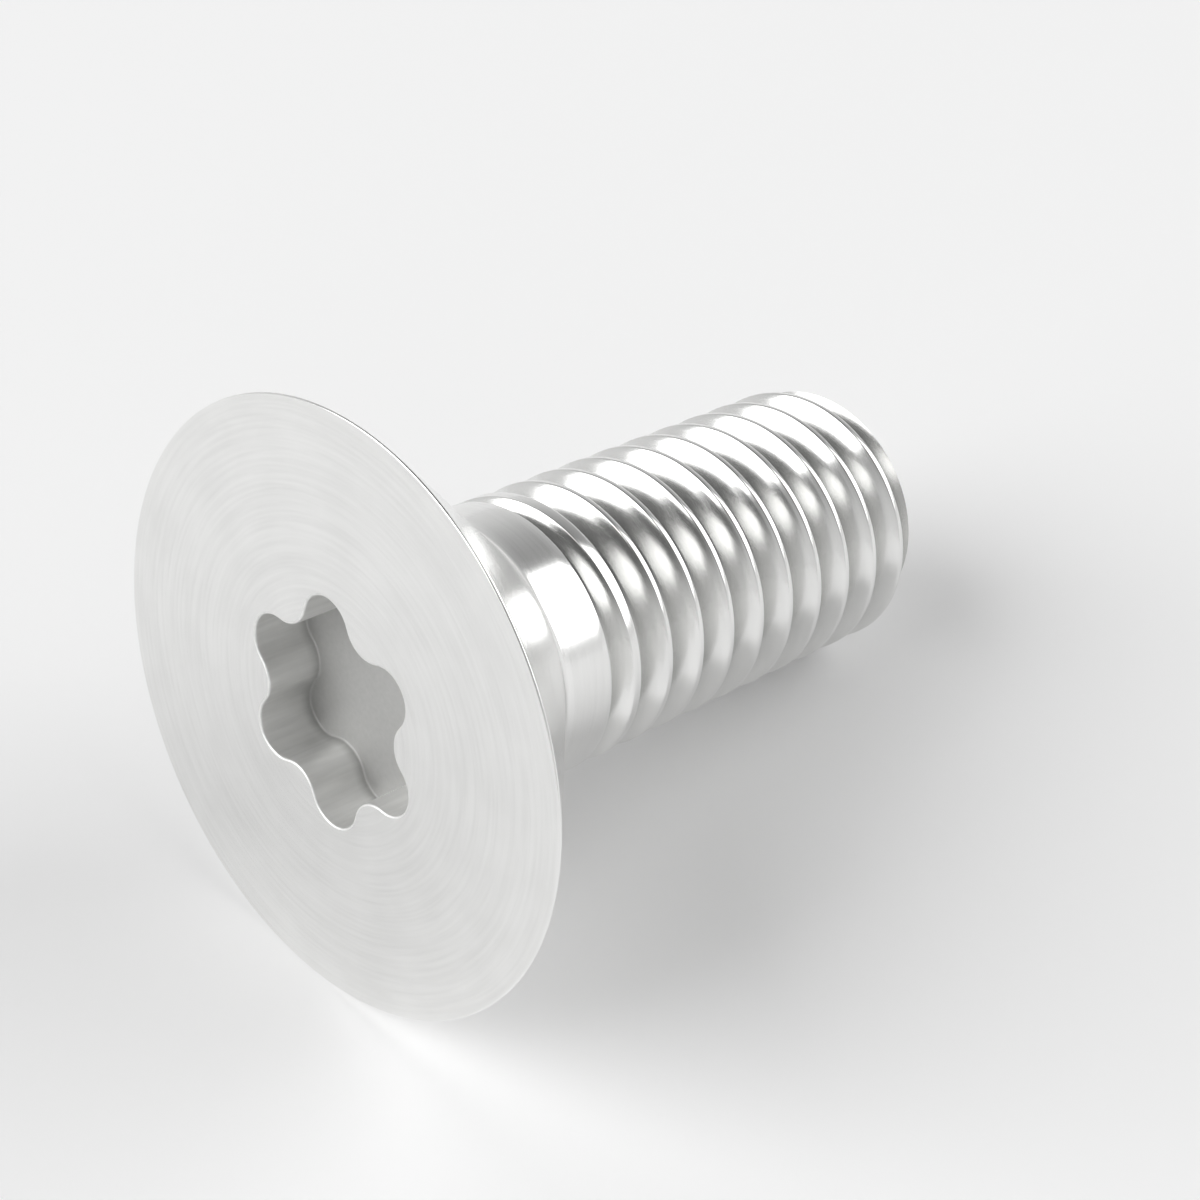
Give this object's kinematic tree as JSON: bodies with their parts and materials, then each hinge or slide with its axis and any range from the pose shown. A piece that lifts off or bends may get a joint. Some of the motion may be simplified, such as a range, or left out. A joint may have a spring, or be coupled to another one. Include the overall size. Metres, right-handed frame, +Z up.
{
  "type": "countersunk socket head screw",
  "caption": "Countersunk flat head machine screw with a six-lobe socket and a right-hand thread, lying on the rim of its head and the end of its shank.",
  "frame": {"origin": "on the floor, under the middle of the lying screw's box", "axes": "+X along the floor from the head towards the tip, +Y to the left of that way, +Z up"},
  "size_m": [0.0222, 0.0172, 0.0168],
  "materials": {
    "steel": "plain stainless steel, pale and satin, pressed smooth on the head and rolled bright on the thread"
  },
  "bodies": {
    "root": {"screw": "steel"}
  },
  "joints": []
}
